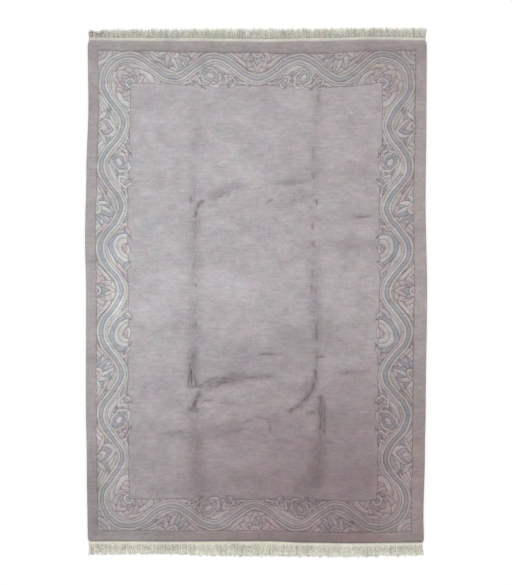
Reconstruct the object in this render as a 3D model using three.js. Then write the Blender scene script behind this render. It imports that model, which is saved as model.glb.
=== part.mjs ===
// A hand-knotted wool rug that lies flat on a floor, with a woven web and a fringe at each end.
// Millimetres, +Z up. X runs across the rug, Y along it, and the floor under it is Z = 0.
// The origin is the middle of the underside.
import * as THREE from "three";
import { mergeVertices } from "three/addons/utils/BufferGeometryUtils.js";

// The pile: its straightened size, and the bands that are carved into its face.
const PILE_WIDTH = 2025;
const PILE_LENGTH = 3000;
const PILE_THICKNESS = 12;
const EDGE_HEIGHT = 7; // height of the rounded rim, where the pile's side begins
const EDGE_ROUND = 5;
const OUTER_BAND = 62; // plain band between the rug's edge and the outer groove
const BORDER_WIDTH = 190; // patterned border between the two grooves
const GROOVE_DEPTH = 3;
const GROOVE_HALF_WIDTH = 5;

// The ends: a flat woven web, and the warp locks that hang on past it.
const END_GAP = 0.3;
const WEB_WIDTH = 18;
const WEB_INSET = 6; // how far the web stops short of the rug's long sides
const WEB_THICKNESS = 2.6;
const LOCK_COUNT = 150;
const LOCK_ROOT_WIDTH = 9;
const LOCK_MIDDLE_WIDTH = 7.5;
const LOCK_TIP_WIDTH = 3.5;
const LOCK_TIP_THICKNESS = 1.6;
const TOP_LOCK_LENGTH = 50;
const BOTTOM_LOCK_LENGTH = 57;
const LOCK_LENGTH_SPREAD = 4;
const LOCK_SWAY = 7; // how far a lock's tip leans sideways
const LOCK_BEND = { outward: 0.55, sideways: 0.35 }; // where its middle is, as shares of its tip's way

// Waves along the row of locks: how they lean, so that neighbours stay apart, and how their lengths vary.
const LEAN_WAVES = [
  { weight: 0.6, step: 0.37, start: 0 },
  { weight: 0.4, step: 0.11, start: 1.3 },
];
const LENGTH_WAVES = [
  { weight: 0.5, step: 2.8, start: 0 },
  { weight: 0.5, step: 1.4, start: 0.6 },
];

// How far each edge wanders from a straight line. "at" is the share of the edge's length, from the
// lower end or the left side, and "out" is the wander towards +X or +Y.
const LEFT_EDGE = [
  { at: 0.0, out: 6 },
  { at: 0.14, out: 5 },
  { at: 0.28, out: -7 },
  { at: 0.5, out: -5 },
  { at: 0.61, out: -10 },
  { at: 0.74, out: 0 },
  { at: 0.85, out: 6 },
  { at: 1.0, out: 7 },
];
const RIGHT_EDGE = [
  { at: 0.0, out: -9 },
  { at: 0.05, out: -13 },
  { at: 0.18, out: -4 },
  { at: 0.28, out: -3 },
  { at: 0.5, out: 9 },
  { at: 0.68, out: 0 },
  { at: 0.85, out: 5 },
  { at: 1.0, out: 9 },
];
const BOTTOM_EDGE = [
  { at: 0.0, out: 4 },
  { at: 0.26, out: 3 },
  { at: 0.53, out: 6 },
  { at: 0.66, out: -4 },
  { at: 0.8, out: -9 },
  { at: 1.0, out: -2 },
];
const TOP_EDGE = [
  { at: 0.0, out: 8 },
  { at: 0.3, out: 5 },
  { at: 0.52, out: 0 },
  { at: 0.68, out: 5 },
  { at: 0.85, out: 13 },
  { at: 1.0, out: 8 },
];

// Creases that folding has left in the face: soft troughs, each on a shallow bow about its middle.
// "turn" is in degrees from +X, and "bow" is how far the middle stands off the line of its ends.
const CREASES = [
  { x: -373, y: 850, length: 600, turn: 90, width: 30, depth: 1.5, bow: 0 },
  { x: -370, y: 498, length: 110, turn: 80, width: 24, depth: 5, bow: 0 },
  { x: -222, y: 566, length: 310, turn: 21, width: 36, depth: 4, bow: 14 },
  { x: -371, y: 12, length: 860, turn: 90, width: 45, depth: 2.2, bow: 4 },
  { x: -388, y: -480, length: 170, turn: 88, width: 22, depth: 5, bow: 0 },
  { x: -365, y: -660, length: 140, turn: 80, width: 24, depth: 6, bow: -5 },
  { x: -366, y: -1050, length: 640, turn: 90, width: 40, depth: 2, bow: 0 },
  { x: 358, y: 552, length: 1150, turn: 90, width: 30, depth: 1.6, bow: 6 },
  { x: 361, y: -198, length: 270, turn: 90, width: 36, depth: 4, bow: 0 },
  { x: 306, y: -546, length: 410, turn: 65, width: 34, depth: 5, bow: -36 },
  { x: 388, y: -720, length: 230, turn: 92, width: 24, depth: 6, bow: 0 },
  { x: 368, y: -1068, length: 560, turn: 90, width: 36, depth: 3, bow: 8 },
  { x: 595, y: 456, length: 220, turn: 5, width: 26, depth: 3.5, bow: 4 },
  { x: -65, y: -513, length: 490, turn: 8, width: 46, depth: 5, bow: 8 },
  { x: 74, y: -369, length: 180, turn: 3, width: 20, depth: 3, bow: 3 },
  { x: 595, y: -468, length: 180, turn: 2, width: 22, depth: 2.5, bow: 0 },
  { x: 176, y: 648, length: 210, turn: 5, width: 28, depth: 2.5, bow: 5 },
  { x: 86, y: -816, length: 190, turn: -70, width: 28, depth: 2.5, bow: 16 },
];

// Places where the rug still lifts a little off the floor beside those creases.
const SWELLS = [
  { x: -262, y: 490, length: 230, turn: 20, width: 60, height: 5, bow: 0 },
  { x: -214, y: 655, length: 300, turn: 10, width: 66, height: 4, bow: 8 },
  { x: 0, y: -600, length: 620, turn: 5, width: 80, height: 7, bow: 10 },
  { x: 440, y: -505, length: 260, turn: 60, width: 66, height: 6, bow: 0 },
  { x: 465, y: -735, length: 280, turn: 86, width: 56, height: 5, bow: 0 },
  { x: -470, y: -610, length: 220, turn: 30, width: 66, height: 5, bow: 0 },
  { x: 560, y: 352, length: 340, turn: 0, width: 66, height: 4, bow: 0 },
  { x: 130, y: -900, length: 520, turn: 8, width: 100, height: 5, bow: 20 },
];

// Where the face gets extra grid lines: beside the two long folds, and over the creased middle.
// Elsewhere its lines, and those of the underside, stand up to a step apart.
const LONG_FOLDS_X = [-373, 361];
const FOLD_LINE_OFFSETS = [-50, -25, 0, 25, 50];
const CREASED_ROWS = { from: -945, to: 675, step: 45 };
const FACE_STEP_X = 110;
const FACE_STEP_Y = 95;
const UNDERSIDE_STEP = 150;
const LEAST_STEP = 1;
const MERGE_DISTANCE = 1e-4;

const WOOL = new THREE.MeshStandardMaterial({
  color: "#aaa2a4",
  roughness: 0.95,
  metalness: 0,
});
const COTTON = new THREE.MeshStandardMaterial({
  color: "#c4c0b1",
  roughness: 0.9,
  metalness: 0,
});

// A table's wander at a share of the edge, eased from each row to the next.
function wander(rows, share) {
  const next = Math.max(
    1,
    rows.findIndex((row) => row.at >= share),
  );
  const [a, b] = [rows[next - 1], rows[next]];
  const t = THREE.MathUtils.smoothstep(share, a.at, b.at);
  return THREE.MathUtils.lerp(a.out, b.out, t);
}

// A point of the straightened rug, moved to where it lies between the wandering edges.
function laid(x, y) {
  const across = THREE.MathUtils.clamp(x / PILE_WIDTH + 0.5, 0, 1);
  const along = THREE.MathUtils.clamp(y / PILE_LENGTH + 0.5, 0, 1);
  const { lerp } = THREE.MathUtils;
  return {
    x: x + lerp(wander(LEFT_EDGE, along), wander(RIGHT_EDGE, along), across),
    y: y + lerp(wander(BOTTOM_EDGE, across), wander(TOP_EDGE, across), along),
  };
}

// How much of one crease or swell a point feels: 1 on its bowed middle line, 0 outside it.
function strength(row, x, y) {
  const turn = THREE.MathUtils.degToRad(row.turn);
  const [dx, dy] = [x - row.x, y - row.y];
  const along = (dx * Math.cos(turn) + dy * Math.sin(turn)) / (row.length / 2);
  if (Math.abs(along) >= 1) return 0;
  const off = dy * Math.cos(turn) - dx * Math.sin(turn);
  const across = (off - row.bow * (1 - along * along)) / row.width;
  if (Math.abs(across) >= 1) return 0;
  return (1 - across * across) ** 2 * (1 - along ** 4);
}

function lift(x, y) {
  return Math.max(0, ...SWELLS.map((row) => row.height * strength(row, x, y)));
}

function creaseDepth(x, y) {
  return Math.max(0, ...CREASES.map((row) => row.depth * strength(row, x, y)));
}

// Distance in from the nearest edge of the straightened rug.
function inset(x, y) {
  return Math.min(PILE_WIDTH / 2 - Math.abs(x), PILE_LENGTH / 2 - Math.abs(y));
}

function grooveDepth(x, y) {
  const fromEdge = inset(x, y);
  const depths = [OUTER_BAND, OUTER_BAND + BORDER_WIDTH].map((at) => {
    const off = Math.abs(fromEdge - at) / GROOVE_HALF_WIDTH;
    return GROOVE_DEPTH * Math.max(0, 1 - off);
  });
  return Math.max(...depths);
}

// The face and the underside, as points over the straightened rug.
function facePoint(x, y) {
  const at = laid(x, y);
  const rim = Math.min(1, inset(x, y) / EDGE_ROUND);
  const pile = THREE.MathUtils.lerp(EDGE_HEIGHT, PILE_THICKNESS, rim);
  const cut = Math.max(grooveDepth(x, y), creaseDepth(at.x, at.y));
  return new THREE.Vector3(at.x, at.y, pile - cut + lift(at.x, at.y));
}

function undersidePoint(x, y) {
  const at = laid(x, y);
  return new THREE.Vector3(at.x, at.y, lift(at.x, at.y));
}

// Grid lines from -half to half: the ones named, and evenly spaced ones in the wider gaps.
function lines(half, named, step) {
  const kept = [-half, ...named, half].sort((a, b) => a - b);
  const all = [kept[0]];
  for (const line of kept.slice(1)) {
    const last = all[all.length - 1];
    if (line - last < LEAST_STEP) continue;
    const pieces = Math.ceil((line - last) / step);
    for (let i = 1; i <= pieces; i++) {
      all.push(last + ((line - last) * i) / pieces);
    }
  }
  return all;
}

// The lines that carry the rim and both grooves, on both sides of the middle.
function carvedLines(half) {
  const grooves = [OUTER_BAND, OUTER_BAND + BORDER_WIDTH].flatMap((at) => [
    at - GROOVE_HALF_WIDTH,
    at,
    at + GROOVE_HALF_WIDTH,
  ]);
  return [EDGE_ROUND, ...grooves].flatMap((at) => [at - half, half - at]);
}

function faceColumns() {
  const folds = LONG_FOLDS_X.flatMap((x) => FOLD_LINE_OFFSETS.map((off) => x + off));
  const half = PILE_WIDTH / 2;
  return lines(half, [...carvedLines(half), ...folds], FACE_STEP_X);
}

function faceRows() {
  const creased = [];
  for (let y = CREASED_ROWS.from; y <= CREASED_ROWS.to; y += CREASED_ROWS.step) {
    creased.push(y);
  }
  const half = PILE_LENGTH / 2;
  return lines(half, [...carvedLines(half), ...creased], FACE_STEP_Y);
}

// The triangles of a grid surface, facing up or down.
function surface(columns, rows, pointAt, facesUp) {
  const triangles = [];
  for (let i = 1; i < columns.length; i++) {
    for (let j = 1; j < rows.length; j++) {
      const a = pointAt(columns[i - 1], rows[j - 1]);
      const b = pointAt(columns[i], rows[j - 1]);
      const c = pointAt(columns[i], rows[j]);
      const d = pointAt(columns[i - 1], rows[j]);
      triangles.push(...(facesUp ? [a, b, c, a, c, d] : [a, c, b, a, d, c]));
    }
  }
  return triangles;
}

// A wall between the ends of two surfaces: stations along the upper and lower edge, in step.
function wall(upperStations, lowerStations, upperAt, lowerAt, reversed) {
  const triangles = [];
  let [i, j] = [0, 0];
  const add = (a, b, c) => triangles.push(...(reversed ? [a, c, b] : [a, b, c]));
  while (i < upperStations.length - 1 || j < lowerStations.length - 1) {
    const up = upperStations[i + 1] ?? Infinity;
    const low = lowerStations[j + 1] ?? Infinity;
    const [a, b] = [upperAt(upperStations[i]), lowerAt(lowerStations[j])];
    if (up <= low) {
      add(a, b, upperAt(up));
      i += 1;
    } else {
      add(a, b, lowerAt(low));
      j += 1;
    }
  }
  return triangles;
}

function solid(triangles) {
  return mergeVertices(new THREE.BufferGeometry().setFromPoints(triangles), MERGE_DISTANCE);
}

// The knotted rug: its carved and creased face, its underside and its four edges.
function rugGeometry() {
  const [columns, rows] = [faceColumns(), faceRows()];
  const underRows = lines(PILE_LENGTH / 2, [], UNDERSIDE_STEP);
  const triangles = [
    ...surface(columns, rows, facePoint, true),
    ...surface(columns, underRows, undersidePoint, false),
  ];
  for (const side of [-1, 1]) {
    const x = (side * PILE_WIDTH) / 2;
    const y = (side * PILE_LENGTH) / 2;
    triangles.push(
      ...wall(rows, underRows, (at) => facePoint(x, at), (at) => undersidePoint(x, at), side < 0),
      ...wall(columns, columns, (at) => facePoint(at, y), (at) => undersidePoint(at, y), side > 0),
    );
  }
  return solid(triangles);
}

// The height of a table of waves at one lock, from -1 to 1.
function waveAt(waves, index) {
  return waves.reduce((sum, wave) => sum + wave.weight * Math.sin(index * wave.step + wave.start), 0);
}

// The comb outline of one end: the web's inner edge beside the pile, and the locks past its outer edge.
function combOutline(end, usualLength) {
  const half = PILE_WIDTH / 2 - WEB_INSET;
  const edgeAt = (x, out) => {
    const at = laid(x, (end * PILE_LENGTH) / 2);
    return new THREE.Vector2(at.x, at.y + end * out);
  };
  const inner = faceColumns().filter((x) => Math.abs(x) < half);
  const points = [-half, ...inner, half].map((x) => edgeAt(x, END_GAP));
  const pitch = (2 * half) / LOCK_COUNT;
  const [root, middle, tip] = [LOCK_ROOT_WIDTH / 2, LOCK_MIDDLE_WIDTH / 2, LOCK_TIP_WIDTH / 2];
  for (let i = LOCK_COUNT - 1; i >= 0; i--) {
    const rootX = -half + (i + 0.5) * pitch;
    const sway = LOCK_SWAY * waveAt(LEAN_WAVES, i);
    const [middleX, tipX] = [rootX + sway * LOCK_BEND.sideways, rootX + sway];
    const length = usualLength + LOCK_LENGTH_SPREAD * waveAt(LENGTH_WAVES, i);
    const middleOut = WEB_WIDTH + length * LOCK_BEND.outward;
    points.push(
      edgeAt(rootX + root, WEB_WIDTH),
      edgeAt(middleX + middle, middleOut),
      edgeAt(tipX + tip, WEB_WIDTH + length),
      edgeAt(tipX - tip, WEB_WIDTH + length),
      edgeAt(middleX - middle, middleOut),
      edgeAt(rootX - root, WEB_WIDTH),
    );
  }
  return new THREE.Shape(end > 0 ? points : points.reverse());
}

// The web and its locks as one flat comb, whose locks thin out towards their tips.
function fringeGeometry(end, usualLength) {
  const shape = combOutline(end, usualLength);
  const geometry = new THREE.ExtrudeGeometry(shape, { depth: WEB_THICKNESS, bevelEnabled: false });
  const at = geometry.getAttribute("position");
  for (let i = 0; i < at.count; i++) {
    if (at.getZ(i) === 0) continue;
    const x = THREE.MathUtils.clamp(at.getX(i), -PILE_WIDTH / 2, PILE_WIDTH / 2);
    const past = end * (at.getY(i) - laid(x, (end * PILE_LENGTH) / 2).y) - WEB_WIDTH;
    const thinned = THREE.MathUtils.clamp(past / usualLength, 0, 1);
    at.setZ(i, THREE.MathUtils.lerp(WEB_THICKNESS, LOCK_TIP_THICKNESS, thinned));
  }
  return geometry;
}

function piece(name, geometry, material) {
  const mesh = new THREE.Mesh(geometry, material);
  mesh.name = name;
  return mesh;
}

const rug = new THREE.Group();
rug.add(
  piece("rug", rugGeometry(), WOOL),
  piece("fringe_top", fringeGeometry(1, TOP_LOCK_LENGTH), COTTON),
  piece("fringe_bottom", fringeGeometry(-1, BOTTOM_LOCK_LENGTH), COTTON),
);

export default rug;
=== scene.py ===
import math
from collections import namedtuple

import bpy
import numpy as np
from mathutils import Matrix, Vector, noise
from mathutils.geometry import delaunay_2d_cdt
from mathutils.kdtree import KDTree


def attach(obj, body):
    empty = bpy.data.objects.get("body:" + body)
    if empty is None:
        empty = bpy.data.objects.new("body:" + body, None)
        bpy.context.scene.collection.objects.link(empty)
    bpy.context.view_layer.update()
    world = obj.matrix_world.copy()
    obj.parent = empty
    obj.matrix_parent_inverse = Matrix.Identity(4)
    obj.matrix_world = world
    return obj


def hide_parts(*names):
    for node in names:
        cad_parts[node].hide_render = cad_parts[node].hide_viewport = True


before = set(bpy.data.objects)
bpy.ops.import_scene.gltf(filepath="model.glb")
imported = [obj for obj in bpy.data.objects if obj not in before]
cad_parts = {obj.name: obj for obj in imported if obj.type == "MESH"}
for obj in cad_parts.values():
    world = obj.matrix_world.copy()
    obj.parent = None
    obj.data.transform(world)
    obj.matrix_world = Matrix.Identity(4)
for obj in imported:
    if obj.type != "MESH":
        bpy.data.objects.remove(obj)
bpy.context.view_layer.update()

MM = 0.001
RANDOM = np.random.default_rng(11)

# The pile, and the two carved lines that part its plain band, its border and its field.
PILE_WIDTH = 2025
PILE_LENGTH = 3000
PILE_THICKNESS = 12
EDGE_HEIGHT = 6.5
EDGE_ROUND = 8
OUTER_BAND = 62
BORDER = 190
HALF = complex(PILE_WIDTH / 2, PILE_LENGTH / 2)

# How far each edge wanders from a straight line: its share along the edge, and how far it stands out.
LEFT_EDGE = [(0, 5), (0.14, 0), (0.28, -6), (0.5, -5), (0.61, -11), (0.74, -3), (0.87, 9), (1, 5)]
RIGHT_EDGE = [(0, -4), (0.05, -7), (0.18, 2), (0.28, 7), (0.5, 15), (0.68, 6), (0.85, 11), (1, 13)]
BOTTOM_EDGE = [(0, 8), (0.1, 8), (0.26, 6), (0.4, 7), (0.53, 8), (0.66, -1), (0.8, -5), (1, 0)]
TOP_EDGE = [(0, 8), (0.3, 5), (0.52, 0), (0.68, 5), (0.85, 13), (1, 8)]

# How far the border's inner line lies off its place at the right and at the top: its share along the
# side, and how far it stands out. The shares of that felt at the edge, at the outer line, at the inner
# line and in the middle of the rug come after them.
RIGHT_BORDER = [(0, -28), (0.13, -30), (0.4, -36), (0.6, -27), (0.87, -12), (1, -10)]
TOP_BORDER = [(0, -4), (0.17, -4), (0.3, -14), (0.5, -12), (0.66, -26), (0.76, -26), (0.88, -8), (1, -6)]
BORDER_SHARES = [0, 0.45, 1, 0]

# The weaver's hand: small waves in every drawn line, as sizes, wavelengths along x and y, and a start.
# Those that move a line along the rug turn faster, by HAND_ALONG. All fade out at the rug's edge.
HAND_WAVES = [(1.6, 410, 170, 0.3), (1.1, -150, 230, 1.9), (0.8, 97, -120, 4.0)]
HAND_ALONG = 1.3
HAND_FADE = 40

# How far from a corner its wear begins, and how far it has drawn the corner back each way.
CORNER_WEAR = 30
CORNER_DRAW = 5

# Creases that folding has left: middle, length, turn from +X in degrees, half width, depth, and how
# far the middle bows off the line of its ends where it does.
Fold = namedtuple("Fold", "x y length turn width depth bow", defaults=[0])
CREASES = [
    Fold(-370, 960, 576, -89, 54, 1),
    Fold(-364, 606, 372, -88, 66, 1.8),
    Fold(-364, 372, 192, -90, 60, 3),
    Fold(-364, 156, 408, -88, 78, 2.4),
    Fold(-170, 603, 285, 18, 48, 3, 6),
    Fold(224, 555, 234, 13, 78, 2.4),
    Fold(218, 654, 265, 5, 30, 3.2),
    Fold(368, 1104, 504, 89, 54, 1.4),
    Fold(344, 642, 660, 89, 48, 1.3),
    Fold(346, 144, 384, -89, 66, 1.9),
    Fold(358, -135, 366, -87, 72, 2.4),
    Fold(368, -222, 204, -90, 66, 3.4),
    Fold(-368, -153, 390, -89, 78, 2.7),
    Fold(-380, -441, 307, 87, 54, 4),
    Fold(-190, -543, 319, 12, 60, 4.6, 6),
    Fold(20, -516, 229, 6, 30, 3.4, 3),
    Fold(-350, -660, 137, 61, 42, 4, 12),
    Fold(-364, -714, 108, 0, 30, 3),
    Fold(-112, -675, 205, -5, 30, 1.6),
    Fold(-316, -834, 567, 6, 54, 2.2),
    Fold(-356, -960, 576, -88, 78, 3.1),
    Fold(-338, -1218, 420, -89, 72, 2.4),
    Fold(364, -417, 198, 88, 30, 3),
    Fold(274, -585, 358, 59, 42, 4.6, -51),
    Fold(392, -756, 264, -90, 42, 4.6),
    Fold(374, -1020, 340, 88, 76, 4),
    Fold(92, -378, 156, 4, 24, 2, 6),
    Fold(-76, -345, 60, 6, 30, 2),
    Fold(590, -480, 216, 3, 24, 2.2),
    Fold(104, -768, 84, 0, 42, 2.2),
    Fold(434, -198, 301, -85, 42, 1.2),
    Fold(620, 453, 229, 5, 24, 2.2),
]

# Places where the rug still lifts off the floor beside those creases, in the same columns.
SWELLS = [
    Fold(-262, 490, 230, 20, 60, 5),
    Fold(-214, 655, 300, 10, 66, 4, 8),
    Fold(0, -600, 620, 5, 80, 7, 10),
    Fold(440, -505, 260, 60, 66, 6),
    Fold(465, -735, 280, 86, 56, 5),
    Fold(-470, -610, 220, 30, 66, 5),
    Fold(560, 352, 340, 0, 66, 4),
    Fold(130, -900, 520, 8, 100, 5, 20),
]

# Short, sharp wrinkles in and around those creases.
WRINKLES = [
    Fold(-333, 517, 93, 53, 27, 3.7, 10),
    Fold(-361, 465, 55, 77, 22, 4),
    Fold(-392, 555, 66, 85, 19, 2.6, -4),
    Fold(-370, 606, 96, -90, 12, 1.8),
    Fold(-380, 378, 84, 86, 23, 1.5),
    Fold(-350, 348, 120, -87, 19, 1.5),
    Fold(-202, 579, 127, 19, 28, 2.8, 4),
    Fold(-176, 579, 57, 18, 12, 2.2),
    Fold(-112, 627, 112, 16, 23, 1.8, 4),
    Fold(86, 544, 52, 24, 14, 3.1, 1),
    Fold(158, 582, 107, 27, 12, 1.5, 3),
    Fold(220, 540, 67, 63, 20, 2.2),
    Fold(272, 576, 61, 11, 20, 2),
    Fold(194, 638, 144, 1, 16, 1.8, 2),
    Fold(363, 537, 42, -87, 12, 3.7),
    Fold(342, 390, 48, -87, 14, 3.1),
    Fold(345, 690, 60, -88, 14, 2.2),
    Fold(344, 285, 54, -90, 20, 2.6),
    Fold(338, 120, 48, -90, 16, 2.8),
    Fold(334, 15, 78, 86, 12, 3.1),
    Fold(356, 0, 48, -90, 12, 2.6),
    Fold(356, -120, 84, 0, 14, 2.6),
    Fold(364, -228, 168, 90, 31, 3.1),
    Fold(-358, 42, 36, -90, 14, 3.1),
    Fold(-374, 156, 48, -83, 16, 2.8),
    Fold(-358, -192, 72, -90, 16, 3.1),
    Fold(344, 834, 84, -90, 16, 2.2),
    Fold(376, 1176, 96, 86, 19, 2.2),
    Fold(-363, -408, 192, 89, 12, 3.1),
    Fold(-382, -438, 228, 88, 13, 3.7),
    Fold(-400, -495, 174, 86, 13, 4.2),
    Fold(-386, -504, 120, -90, 17, 5),
    Fold(-365, -519, 80, -77, 13, 4.4),
    Fold(-350, -531, 62, -61, 12, 2.6),
    Fold(-358, -564, 132, 0, 27, 3.7),
    Fold(-262, -534, 129, 22, 27, 2.8, 6),
    Fold(-202, -549, 139, 18, 36, 3.9, 4),
    Fold(-172, -522, 134, 10, 28, 3.9, 2),
    Fold(-34, -519, 145, 7, 17, 2.8, 4),
    Fold(68, -511, 132, -1, 11, 2.6, 5),
    Fold(-64, -570, 132, 0, 16, 1.7, 4),
    Fold(76, -381, 138, 2, 14, 3.1, 8),
    Fold(-344, -624, 81, 63, 22, 4.2, 5),
    Fold(-362, -672, 74, 76, 23, 5.2, 4),
    Fold(-376, -701, 53, -24, 22, 3.3),
    Fold(-292, -662, 86, 14, 11, 2.8, 11),
    Fold(-172, -670, 108, -4, 14, 1.8, 2),
    Fold(380, -389, 72, 2, 14, 3.7),
    Fold(366, -429, 91, 84, 12, 2.2),
    Fold(356, -501, 90, 86, 15, 4.6),
    Fold(340, -570, 89, 71, 22, 4.2, -5),
    Fold(296, -638, 113, 50, 27, 4.2, -6),
    Fold(232, -694, 110, 35, 25, 3.7, -3),
    Fold(290, -570, 103, 54, 31, 1.5),
    Fold(392, -645, 59, -66, 27, 4.2),
    Fold(388, -687, 68, 75, 19, 4, 3),
    Fold(388, -735, 68, -75, 19, 4.2),
    Fold(389, -792, 85, 82, 19, 4.2),
    Fold(411, -708, 84, -88, 14, 4.2),
    Fold(410, -795, 138, 87, 14, 4.2),
    Fold(410, -828, 85, -82, 16, 2.8),
    Fold(388, -870, 108, -87, 19, 2.8),
    Fold(-376, -705, 86, -12, 31, 3.7),
    Fold(382, -888, 96, 86, 16, 2.2),
    Fold(544, -486, 42, 7, 16, 2.9),
    Fold(638, -477, 120, 3, 12, 1.5, 2),
    Fold(644, 455, 108, 5, 16, 3.1, -6),
    Fold(74, -801, 105, -77, 16, 2.2, 9),
    Fold(38, -762, 99, -14, 14, 1.8, 7),
    Fold(-52, -780, 87, 16, 16, 1.7, 4),
    Fold(164, -897, 133, -8, 23, 1.8, 4),
    Fold(-160, -849, 260, 15, 23, 1.8, 7),
    Fold(-490, -846, 193, 7, 27, 1.8, 5),
    Fold(338, -726, 73, 9, 17, 1.8),
    Fold(380, -900, 205, -7, 19, 1.7, 4),
]

# The depth at which a wrinkle's painted shade is darkest, and how dark the painted shade of a wide crease
# is beside a wrinkle.
DARKEST_DEPTH = 5
CREASE_SHADOW = 0.6

# The ups and downs of a hand-clipped pile: how high, how far apart along x and y, and a start.
CLIPPING = [(0.9, 150, 110, 0), (0.45, 48, 36, 7)]

# Patches paler by the share in their depth, or deeper where it is below 0: partly left by wear and washing,
# partly painted shade around the folds.
PATCHES = [
    Fold(-260, 25, 700, 0, 175, 0.09),
    Fold(325, -258, 560, 0, 120, -0.14),
    Fold(-65, -400, 930, 2, 150, -0.11),
    Fold(-60, -670, 800, 0, 110, 0.11),
    Fold(-305, -790, 620, 0, 90, 0.08),
    Fold(14, -984, 640, 0, 150, 0.1),
    Fold(895, -1176, 760, 90, 270, 0.13),
    Fold(-960, -1250, 560, 90, 110, -0.18),
    Fold(-995, 1030, 400, 90, 70, -0.1),
    Fold(-900, 760, 1300, 90, 210, -0.06),
    Fold(295, 744, 280, 0, 140, -0.08),
    Fold(-185, 700, 500, 0, 240, 0.06),
    Fold(535, 420, 300, 0, 160, -0.07),
    Fold(625, 282, 420, 0, 60, -0.14),
    Fold(90, -1370, 900, 0, 110, 0.17),
    Fold(-695, -1416, 700, 0, 80, -0.13),
    Fold(-455, -1165, 400, 0, 80, -0.11),
    Fold(325, -1158, 200, 0, 80, -0.12),
    Fold(-95, 372, 380, 0, 60, -0.07),
    Fold(145, -708, 170, 0, 60, -0.09),
    Fold(450, -1090, 260, 0, 110, -0.06),
    Fold(700, -1300, 500, 0, 100, 0.08),
    Fold(535, -768, 240, 0, 90, -0.07),
    Fold(-640, -110, 280, 0, 110, 0.11),
    Fold(-830, 40, 560, 90, 80, 0.14),
]

# The carved lines between two colours. A sharp turn of theirs, in radians, stays a corner.
LINE_DEPTH = 2.6
LINE_HALF_WIDTH = 4.2
LINE_SEGMENT = 13
LINE_MERGE = 2
LINE_SAMPLES = 6
SHARP_TURN = 0.5

# Spacing of the face's points where no line asks for more.
RIM_INSETS = [1.5, 4, 8]
RIM_STEP = 14
NET_INSET = 14
NET_STEP = 18
NET_ROW = 0.87
WRINKLE_STEP = 6.5
UNDERSIDE_INSET = 20
UNDERSIDE_STEP = 45
CLEAR_OF_LINES = 5
CLEAR_OF_NEIGHBOURS = 3.4
SHOULDER_CELL = 4.5
MERGE = 0.01
ROUNDING = 1e-6

# The fringe of each end starts in a narrow flat web, with a ridge for each of its wefts.
WEB_WIDTH = 18
WEB_INSET = 6
WEB_GAP = 0.3
WEB_HEIGHT = 2
WEB_STEP = 8
WEFTS = 6
WEFT_RELIEF = 0.6

# Out of it hang the warp yarns, in locks of thick yarns and thin wisps.
LOCKS = 150
YARNS_IN_LOCK = 12
YARN_RADIUS = 1.05
WISPS_IN_LOCK = 3
WISP_RADIUS = 0.45
YARN_SIDES = 5
YARN_RINGS = 6
YARN_MARGIN = 2

# A yarn starts inside the web, flat, and has settled on the floor after a share of its length.
YARN_COVERED = 3
YARN_START_HEIGHT = 1.2
YARN_START_FLATNESS = 0.6
YARN_SETTLED = 0.3

# On its way it waves and leans, and it ends thinner.
YARN_WAVE = 0.9
YARN_WAVE_TURN = 5
YARN_LEAN_ORDER = 1.3
TIP_WIDTH = 0.45

# How high the yarns of a lock pile up in its middle. The flattest lies at a share of that, and all sink
# towards their tips.
LOCK_FULLNESS = 2.4
LEAST_LIFT = 0.3
FLATTEST = 0.5
TIP_SINK = 0.6

# How far the tips lean aside. Those at the right corners splay out.
LOCK_SWAY = 7
LOCK_SPREAD = 1.5
YARN_SPREAD = 3.2
WISP_SPREAD = 5
LOCK_GATHER = 2
CORNER_SPLAY = 14
CORNER_SPLAY_ORDER = 31

# How much their lengths differ, and the share of yarns that lie low, shorter, and darker than the rest with
# painted shade.
LOCK_WAVE = 3
LOCK_LENGTHS = 2.2
YARN_LENGTHS = 3.6
WISP_LENGTHS = 6
LOW_SHARE = 0.35
LOW_SHORTER = 5
LOW_SHADE = 0.66

# How much their shades differ, and how much paler their tips are, up to the palest.
YARN_SHADES = 0.07
TIP_FADE = 0.5
TIP_FADE_ORDER = 4
PALEST = 0.92

# Waves along the row of locks: how they lean, and how their lengths vary, as weights, steps and starts.
LEAN_WAVES = [(0.6, 0.37, 0), (0.4, 0.11, 1.3)]
LENGTH_WAVES = [(0.5, 2.8, 0), (0.5, 1.4, 0.6)]
End = namedtuple("End", "name side lengths yarn")
ENDS = [
    End("top", 1, [(0, 38), (0.08, 51), (0.5, 61), (0.92, 54), (1, 61)], "grey cotton"),
    End("bottom", -1, [(0, 63), (0.24, 60), (0.34, 68), (0.5, 75), (0.7, 66), (1, 62)], "cotton"),
]

# Yarn colours as they look on the rug, in sRGB from 0 to 255.
YARNS = {
    "ground": (182, 178, 181),
    "band": (172, 167, 167),
    "pale": (203, 203, 205),
    "cream": (200, 199, 194),
    "pink": (196, 187, 189),
    "mauve": (179, 175, 181),
    "blue": (171, 175, 180),
    "stone": (189, 189, 188),
    "cotton": (218, 216, 201),
    "grey cotton": (203, 202, 191),
}

# How much deeper the border's yarns are dyed at the rug's right edge, and how much paler its band's.
BORDER_DRIFT = 0.1
BAND_DRIFT = 0.08

# How far the border's yarns have faded into one another at the rug's two ends.
END_FADE = 0.4


def linear(colour):
    """An sRGB colour from 0 to 255 as linear light."""
    shares = np.array(colour) / 255
    return np.where(shares <= 0.04045, shares / 12.92, ((shares + 0.055) / 1.055) ** 2.4)


# Where the straightened rug lies, and its relief.


def eased(share):
    """A share from 0 to 1 that sets out and arrives gently."""
    return share**2 * (3 - 2 * share)


def wander(rows, share):
    """How far out an edge stands at a share of its length, eased from one row to the next."""
    at, out = np.array(rows, float).T
    following = np.clip(np.searchsorted(at, share), 1, len(at) - 1)
    step = eased((share - at[following - 1]) / (at[following] - at[following - 1]))
    return out[following - 1] + (out[following] - out[following - 1]) * step


def inset(points):
    """Distance in from the nearest edge of the straightened rug."""
    return np.minimum(HALF.real - abs(points.real), HALF.imag - abs(points.imag))


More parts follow.
